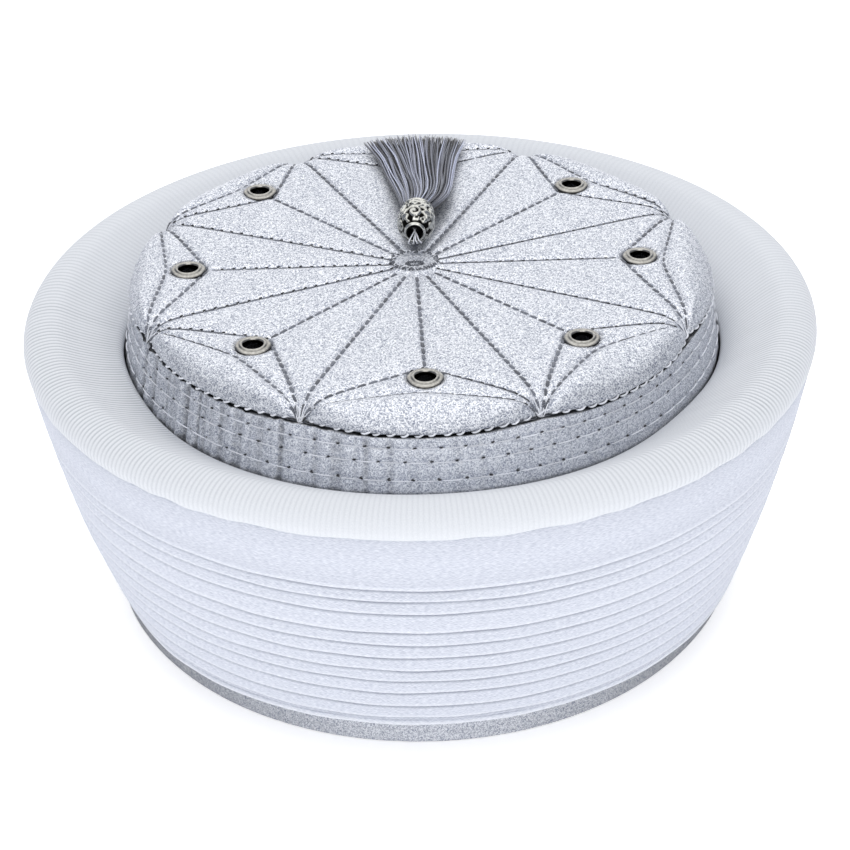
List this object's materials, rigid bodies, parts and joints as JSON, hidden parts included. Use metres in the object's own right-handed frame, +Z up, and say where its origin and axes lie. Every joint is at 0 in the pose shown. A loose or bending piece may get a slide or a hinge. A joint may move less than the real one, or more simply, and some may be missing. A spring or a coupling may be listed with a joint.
{
  "type": "imam turban",
  "caption": "Ready-wound imam turban: silver cap with a quilted star top, vent eyelets and a tassel, inside a thick white pleated wall with a ribbed rim.",
  "frame": {"origin": "middle of the cap's open rim, on the surface that the turban stands on", "axes": "+Z up through the crown, -Y towards the wearer's face, the tassel falls back along +Y"},
  "size_m": [0.2438, 0.2438, 0.1222],
  "materials": {
    "silver_lame": "silver lame cloth with a fine metallic sparkle, quilted with grey thread",
    "white_cotton": "matt white cotton twill, laid in pleats",
    "white_ribbed_cloth": "matt white ribbed cloth, ribs running across the rim",
    "nickel_eyelet": "nickel plate, lightly polished",
    "cast_bead_metal": "antique nickel on cast scrolls, dark in the recesses",
    "grey_rayon": "lustrous grey rayon thread"
  },
  "bodies": {
    "root": {"cap_side": "silver_lame", "cap_top": "silver_lame", "wrap": "white_cotton", "rim_roll": "white_ribbed_cloth", "eyelet_1": "nickel_eyelet", "eyelet_2": "nickel_eyelet", "eyelet_3": "nickel_eyelet", "eyelet_4": "nickel_eyelet", "eyelet_5": "nickel_eyelet", "eyelet_6": "nickel_eyelet", "eyelet_7": "nickel_eyelet", "eyelet_8": "nickel_eyelet", "tassel_bead": "cast_bead_metal", "tassel_fringe": "grey_rayon", "tassel_loop": "grey_rayon"}
  },
  "joints": []
}
